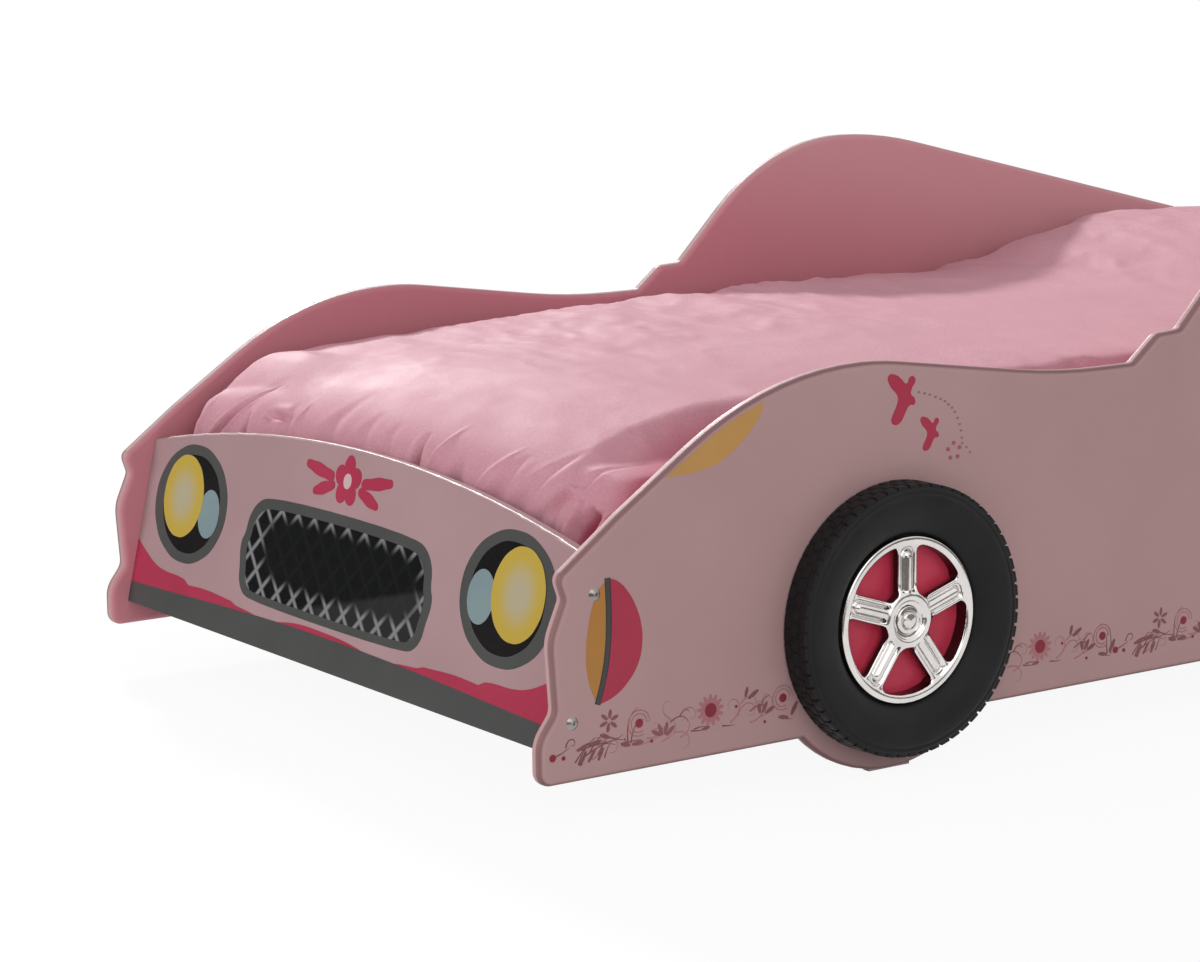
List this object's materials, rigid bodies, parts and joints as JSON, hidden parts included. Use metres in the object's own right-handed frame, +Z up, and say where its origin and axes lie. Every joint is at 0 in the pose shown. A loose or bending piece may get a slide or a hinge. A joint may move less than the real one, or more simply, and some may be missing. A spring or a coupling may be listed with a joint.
{
  "type": "children's car bed",
  "caption": "Child's single bed shaped like a small open car, with side boards, end boards, slats, wheels, mattress, pillow and duvet.",
  "frame": {"origin": "centre of the footprint, on the floor", "axes": "+X towards the car's own left side, -Y towards the nose and the foot of the bed, +Y towards the head of the bed, +Z up"},
  "size_m": [1.0578, 2.105, 0.602],
  "materials": {
    "side_lacquer": "satin lacquer",
    "front_lacquer": "gloss lacquer",
    "pine": "planed",
    "birch": "sanded",
    "webbing": "woven",
    "tyre": "moulded",
    "chrome": "plated",
    "crimson_plastic": "satin",
    "bolt_steel": "plated",
    "zinc_steel": "zinc plated",
    "felt": "felted",
    "ticking": "woven",
    "pillow_cotton": "satin weave",
    "duvet_satin": "satin weave"
  },
  "bodies": {
    "bed_frame": {"barrel_nuts": "zinc_steel", "connector_bolts": "bolt_steel", "floor_glides": "felt", "front_panel": "front_lacquer", "hub_cap_front_left": "chrome", "hub_cap_front_right": "chrome", "hub_cap_rear_left": "chrome", "hub_cap_rear_right": "chrome", "panel_dowels": "birch", "rail_left": "pine", "rail_right": "pine", "rail_screws": "zinc_steel", "rear_panel": "front_lacquer", "rim_front_left": "chrome", "rim_front_right": "chrome", "rim_rear_left": "chrome", "rim_rear_right": "chrome", "side_panel_left": "side_lacquer", "side_panel_right": "side_lacquer", "slat_01": "birch", "slat_02": "birch", "slat_03": "birch", "slat_04": "birch", "slat_05": "birch", "slat_06": "birch", "slat_07": "birch", "slat_08": "birch", "slat_09": "birch", "slat_10": "birch", "slat_11": "birch", "slat_12": "birch", "slat_13": "birch", "slat_14": "birch", "slat_screws": "zinc_steel", "slat_tape_left": "webbing", "slat_tape_right": "webbing", "tyre_front_left": "tyre", "tyre_front_right": "tyre", "tyre_rear_left": "tyre", "tyre_rear_right": "tyre", "wheel_backing_front_left": "crimson_plastic", "wheel_backing_front_right": "crimson_plastic", "wheel_backing_rear_left": "crimson_plastic", "wheel_backing_rear_right": "crimson_plastic", "wheel_screws": "zinc_steel"},
    "mattress": {"mattress": "ticking"},
    "pillow": {"pillow": "pillow_cotton"},
    "duvet": {"duvet": "duvet_satin"}
  },
  "joints": [
    {"name": "mattress_lift", "type": "slide", "parent": "bed_frame", "child": "mattress", "axis": [0, 0, 1], "range_m": [0, 0.43]},
    {"name": "pillow_lift", "type": "slide", "parent": "mattress", "child": "pillow", "axis": [0, 0, 1], "range_m": [0, 0.3]},
    {"name": "duvet_lift", "type": "slide", "parent": "pillow", "child": "duvet", "axis": [0, 0, 1], "range_m": [0, 0.34]}
  ]
}
